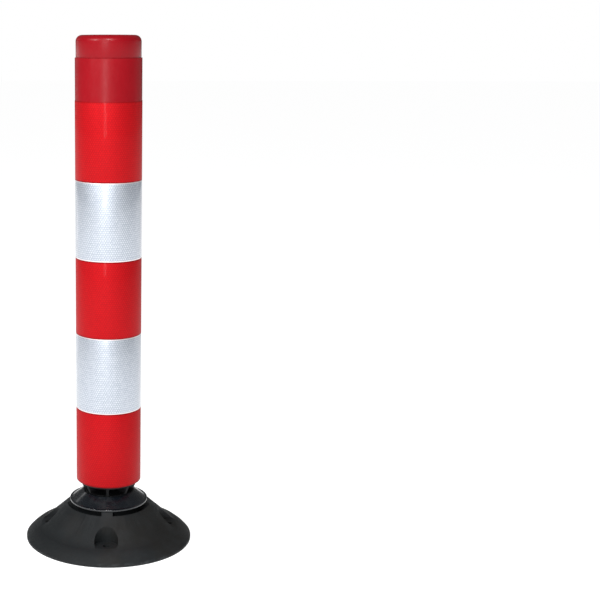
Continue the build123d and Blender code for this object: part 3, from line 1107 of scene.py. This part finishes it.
# ---------------------------------------------------------------------------------------------------
# The swivel and the return works
# ---------------------------------------------------------------------------------------------------
@dataclass
class Works:
    """The hidden parts: the swivel stud, the rope and the spring that bring the post back upright."""

    rope_radius: float = 3 * MM
    rope_strands: int = 6
    rope_lay: float = 26 * MM
    rope_step: float = 1.6 * MM
    bend_margin: float = 2 * MM  # how far into the guide the rope still bends
    wire_radius: float = 2 * MM
    coils: int = 13
    steps_per_coil: int = 32
    spring_travel: float = 52 * MM

    def build(self) -> None:
        """Builds the rope and the spring and dresses the other parts."""
        self.rope()
        self.spring()
        finishes = {
            "swivel_stud": ZINC,
            "thrust_washer": BRONZE,
            "swivel_nut": ZINC,
            "cotter_pin": ZINC,
            "rope_guide": BRONZE,
            "plug_screws": ZINC,
            "spring_washer": ZINC,
            "spring_cap": GRAINED_BLACK,
            "rope_ferrule": ALUMINIUM,
        }
        for node, finish in finishes.items():
            dress(bpy.data.objects[node], finish)

    def rope(self) -> None:
        """Lays the strands round a core, over the length of the CAD rope."""
        low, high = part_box("pull_rope")
        strand = self.rope_radius / 3
        length = high[2] - low[2]
        steps = round(length / self.rope_step)
        heights = [low[2] + length * i / steps for i in range(steps + 1)]
        strands = [wire("rope_core", [(0, 0, z) for z in heights], strand, 8)]
        for k in range(self.rope_strands):
            path = []
            for z in heights:
                turn = 2 * math.pi * ((z - low[2]) / self.rope_lay + k / self.rope_strands)
                path.append((2 * strand * math.cos(turn), 2 * strand * math.sin(turn), z))
            strands.append(wire("rope_strand", path, strand, 8))
        piece = joined("stranded_rope", strands)
        dress(piece, ROPE_STEEL)
        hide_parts("pull_rope")
        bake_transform(piece)
        log.info("%s bends between the swivel and the post", piece.name)

    def spring(self) -> None:
        """Winds the return spring with closed ends, and hangs it on the post with a mesh of its own."""
        low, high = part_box("return_spring")
        radius = high[0] - self.wire_radius
        bottom, top = low[2] + self.wire_radius, high[2] - self.wire_radius
        closed = 2 * self.wire_radius
        path = []
        for i in range(self.coils * self.steps_per_coil + 1):
            coil = i / self.steps_per_coil
            if coil <= 1:
                z = bottom + closed * coil * coil / 2
            elif coil >= self.coils - 1:
                z = top - closed * (self.coils - coil) ** 2 / 2
            else:
                rise = top - bottom - closed
                z = bottom + closed / 2 + rise * (coil - 1) / (self.coils - 2)
            turn = 2 * math.pi * coil
            path.append((radius * math.cos(turn), radius * math.sin(turn), z))
        piece = wire("wound_spring", path, self.wire_radius, 16)
        dress(piece, SPRING_STEEL)
        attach(piece, "post")
        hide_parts("return_spring")
        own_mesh(piece)
        log.info("%s shortens with the tilt", piece.name)


# ---------------------------------------------------------------------------------------------------
# The post
# ---------------------------------------------------------------------------------------------------
@dataclass
class Post:
    """The parts that tilt together: foot, tube, reflective bands and cap."""

    ribs: int = 8
    rib_width: float = 4 * MM
    hub_radius: float = 15 * MM
    cone_inset: float = 11.8 * MM
    window_bottom_web: float = 10.5 * MM
    window_top_web: float = 4 * MM
    groove_wall: float = 4.2 * MM
    groove_width: float = 10 * MM
    groove_depth: float = 6 * MM
    throat_radius: float = 7 * MM
    floor: float = 5 * MM
    spigot_wall: float = 4 * MM
    spigot_lead: float = 0.4 * MM  # height of the slope from the cone to the spigot
    fit_gap: float = 0.2 * MM
    tube_wall: float = 3.5 * MM
    screw_hole: float = 5.2 * MM
    screw_turns: Point = (45, 135)  # degrees of the two holes that run right through the tube
    edge_ease: float = 0.5 * MM
    film_share: float = 0.85  # of the film's thickness, the rest is glue
    film_ease: float = 0.06 * MM
    overlap: float = 12.5 * MM  # where a wrap of film laps over its own start
    lap_height: float = 0.3 * MM
    lap_setback: float = 0.2 * MM
    lap_ease: float = 0.08 * MM
    cap_edge: float = 9 * MM
    cap_wall: float = 3 * MM
    cap_dish: Point = (33 * MM, 0.8 * MM)
    cap_dish_slope: float = 1.2 * MM
    cap_ease: float = 0.35 * MM
    snap_rings: int = 2
    snap_spacing: float = 8 * MM
    snap_width: float = 2 * MM
    snap_lead: float = 0.4 * MM

    def build(self) -> None:
        """Builds the foot, the tube, the bands and the cap."""
        stand_in_for(self.foot(), "foot_plug", "post", GRAINED_BLACK)
        stand_in_for(self.tube(), "post_tube", "post", TUBE_RED)
        for index, node in enumerate(self.band_nodes()):
            colour, finish = ("red", RED_FILM) if index % 2 == 0 else ("white", WHITE_FILM)
            stand_in_for(self.band(node), node, "post", finish)
        stand_in_for(self.cap(), "top_cap", "post", CAP_RED)

    def band_nodes(self) -> list[str]:
        """The names of the film bands, from the bottom up."""
        return sorted(name for name in bpy.data.objects.keys() if name.startswith("film_band_"))

    def foot(self) -> Piece:
        """Turns the tapered foot and its spigot, and cuts the windows between the ribs.

        Returns:
            The foot.
        """
        low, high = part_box("foot_plug")
        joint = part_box("post_tube")[0][2]
        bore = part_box("post_tube")[1][0] - self.tube_wall
        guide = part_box("rope_guide")
        spigot = bore - self.fit_gap
        sole = bore - self.cone_inset
        outline = [
            (guide[1][0], low[2]),
            (sole, low[2]),
            (bore, joint),
            (spigot, joint + self.spigot_lead),
            (spigot, high[2]),
            (spigot - self.spigot_wall, high[2]),
            (spigot - self.spigot_wall, joint + self.floor),
            (self.throat_radius, joint + self.floor),
            (self.throat_radius, guide[1][2]),
            (guide[1][0], guide[1][2]),
        ]
        piece = turned("ribbed_foot", outline)
        window_low, window_high = low[2] + self.window_bottom_web, joint - self.window_top_web
        opening = (self.hub_radius, 2 * bore)
        windows = sectors("window_tool", opening, (window_low, window_high), self.ribs, self.rib_width)
        outer = sole - self.groove_wall
        groove = (outer - self.groove_width, outer)
        depths = (low[2] - self.groove_depth, low[2] + self.groove_depth)
        grooves = sectors("groove_tool", groove, depths, self.ribs, self.rib_width)
        cut(piece, windows, grooves)
        eased(piece, self.edge_ease, 2)
        return piece

    def tube(self) -> Piece:
        """Turns the tube, with eased ends and seats for its screws.

        Returns:
            The tube.
        """
        low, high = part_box("post_tube")
        outer = high[0]
        piece = turned("extruded_tube", ring_outline((outer - self.tube_wall, outer), (low[2], high[2])))
        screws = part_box("plug_screws")
        middle = (screws[0][2] + screws[1][2]) / 2
        for turn in self.screw_turns:
            deselect()
            bpy.ops.mesh.primitive_cylinder_add(
                vertices=32,
                radius=self.screw_hole,
                depth=4 * outer,
                location=(0, 0, middle),
                rotation=(0, math.radians(90), math.radians(turn)),
            )
            cut(piece, settle("screw_tool"))
        eased(piece, self.edge_ease, 3)
        return piece

    def band(self, node: str) -> Piece:
        """Wraps one band of film round the tube, with a lap where its ends meet at the back.

        Args:
            node: The band's CAD node.

        Returns:
            The band.
        """
        low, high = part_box(node)
        outer = high[0]
        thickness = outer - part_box("post_tube")[1][0]
        inner = outer - self.film_share * thickness
        wrap = turned(f"{node}_wrap", ring_outline((inner, outer), (low[2], high[2])))
        eased(wrap, self.film_ease, 2)
        return joined(f"{node}_wrap", [wrap, self.lap(node, outer, low[2], high[2])])

    def lap(self, node: str, radius: float, low: float, high: float) -> Piece:
        """The strip at the back where a wrap of film laps over its own start.

        Args:
            node: The band's CAD node.
            radius: The wrap's outer radius.
            low: The height of its lower edge.
            high: The height of its upper edge.

        Returns:
            The strip, a little proud of the wrap.
        """
        deselect()
        middle = (low + high) / 2
        depth = high - low - 2 * self.lap_setback
        bpy.ops.mesh.primitive_cylinder_add(
            vertices=2 * SIDES, radius=radius, depth=depth, location=(0, 0, middle), end_fill_type="NOTHING"
        )
        strip = settle(f"{node}_lap")
        reach = self.overlap / 2
        delete_faces(strip, lambda face: face.center.y < 0 or abs(face.center.x) > reach)
        finish_modifier(strip, "SOLIDIFY", {"thickness": self.lap_height, "offset": 1})
        eased(strip, self.lap_ease, 2, 50)
        return strip

    def cap(self) -> Piece:
        """Turns the cap: a broad rounded edge, a shallow dish on top and a spigot with snap rings.

        Returns:
            The cap.
        """
        low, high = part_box("top_cap")
        tube_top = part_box("post_tube")[1][2]
        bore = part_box("post_tube")[1][0] - self.tube_wall
        outer, spigot = high[0], bore - self.fit_gap
        hollow = spigot - self.cap_wall
        dish_radius, dish_depth = self.cap_dish
        snaps = []
        for index in range(self.snap_rings, 0, -1):
            z = tube_top - index * self.snap_spacing
            snaps += [(spigot, z), (bore, z + self.snap_lead)]
            snaps += [(bore, z + self.snap_width - self.snap_lead), (spigot, z + self.snap_width)]
        outline = [
            (hollow, high[2] - self.cap_edge),
            (hollow, low[2]),
            (spigot, low[2]),
            *snaps,
            (spigot, tube_top),
            (outer, tube_top),
            *arc((outer - self.cap_edge, high[2] - self.cap_edge), self.cap_edge, 0, 90, 16),
            (dish_radius, high[2]),
            (dish_radius - self.cap_dish_slope, high[2] - dish_depth),
        ]
        piece = turned("rounded_cap", outline, hollow=False)
        eased(piece, self.cap_ease, 2, 24)
        return piece


# ---------------------------------------------------------------------------------------------------
# The studio
# ---------------------------------------------------------------------------------------------------
@dataclass(frozen=True)
class Softbox:
    """A rectangular soft light that is aimed at the post's axis."""

    name: str
    place: Place
    size: Point
    watts: float
    aim: float = 0.4  # height that it points at


@dataclass
class Studio:
    """A pale floor, soft lights and a camera a little above the top of the post."""

    distance: float = 1.8606
    height: float = 0.7715
    azimuth: float = 2.2
    pitch: float = 12.255
    lens: float = 77.54
    sensor: float = 36.0
    shift: float = 0.319
    floor_size: float = 30.0
    floor_gap: float = 0.2 * MM  # between the floor and the base
    surround: str = "#ffffff"  # what stands behind the post
    ambience: float = 0.12
    front_glow: float = 0.08

    def build(self) -> None:
        """Sets up the floor, the lights, the sky and the camera."""
        self.floor()
        self.lights()
        self.sky()
        self.camera()
        bpy.context.scene.view_settings.view_transform = "Standard"

    def floor(self) -> None:
        """Lays the floor that the base stands on."""
        deselect()
        bpy.ops.mesh.primitive_plane_add(size=self.floor_size, location=(0, 0, -self.floor_gap))
        floor = settle("studio_floor")
        dress(floor, FLOOR)

    def lights(self) -> None:
        """Hangs the soft lights: a tall key, two high ones and a strip at each side behind the post."""
        boxes: Iterable[Softbox] = (
            Softbox("key", (-0.37, -2.17, 1.0), (0.36, 0.9), 12.5, aim=0.75),
            Softbox("high_front", (0.1, -1.7, 2.3), (0.6, 0.6), 38.0),
            Softbox("high_left", (-1.6, -1.3, 2.1), (0.7, 0.7), 35.0),
            Softbox("strip_left", (-1.39, 1.44, 0.3), (0.16, 2.4), 1.5),
            Softbox("strip_right", (1.8, 0.88, 0.3), (0.16, 2.4), 0.9),
        )
        for box in boxes:
            deselect()
            bpy.ops.object.light_add(type="AREA", location=box.place)
            lamp = bpy.context.object
            lamp.name = f"softbox_{box.name}"
            lamp.data.shape = "RECTANGLE"
            lamp.data.size, lamp.data.size_y = box.size
            lamp.data.energy = box.watts
            x, y, z = box.place
            tilt = math.atan2(math.hypot(x, y), z - box.aim)
            lamp.rotation_euler = (tilt, 0, math.atan2(-x, y) + math.pi)

    def sky(self) -> None:
        """Puts a white surround behind the post, and lights it by a dim room that is paler in front."""
        world = bpy.data.worlds.new("studio_air")
        world.use_nodes = True
        tree = world.node_tree
        tree.nodes.clear()
        way = add_node(tree, "TexCoord").outputs["Generated"]
        front = add_node(tree, "VectorMath", {0: way, 1: (0, -1, 0)}, operation="DOT_PRODUCT")
        levels = {
            "Value": front.outputs["Value"],
            "From Min": 0.35,
            "From Max": 0.95,
            "To Min": self.ambience,
            "To Max": self.ambience + self.front_glow,
        }
        glow = add_node(tree, "MapRange", levels, interpolation_type="SMOOTHSTEP").outputs["Result"]
        room = add_node(tree, "Background", {"Color": linear(self.surround), "Strength": glow})
        surround = add_node(tree, "Background", {"Color": linear(self.surround), "Strength": 1.0})
        seen = add_node(tree, "LightPath").outputs["Is Camera Ray"]
        either = add_node(tree, "MixShader", {0: seen, 1: room.outputs[0], 2: surround.outputs[0]})
        add_node(tree, "OutputWorld", {"Surface": either.outputs[0]})
        bpy.context.scene.world = world

    def camera(self) -> None:
        """Stands the camera in front of the post, looking down a little."""
        deselect()
        around = math.radians(self.azimuth)
        place = (self.distance * math.sin(around), -self.distance * math.cos(around), self.height)
        tilt = math.radians(90 - self.pitch)
        bpy.ops.object.camera_add(location=place, rotation=(tilt, 0, around))
        camera = bpy.context.object
        camera.data.lens = self.lens
        camera.data.sensor_width = self.sensor
        camera.data.shift_x = self.shift
        bpy.context.scene.camera = camera


def main() -> None:
    """Builds the post and its studio."""
    logging.basicConfig(level=logging.INFO, format="%(name)s: %(message)s")
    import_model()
    Base().build()
    Works().build()
    Post().build()
    Studio().build()


if __name__ == "__main__":
    main()
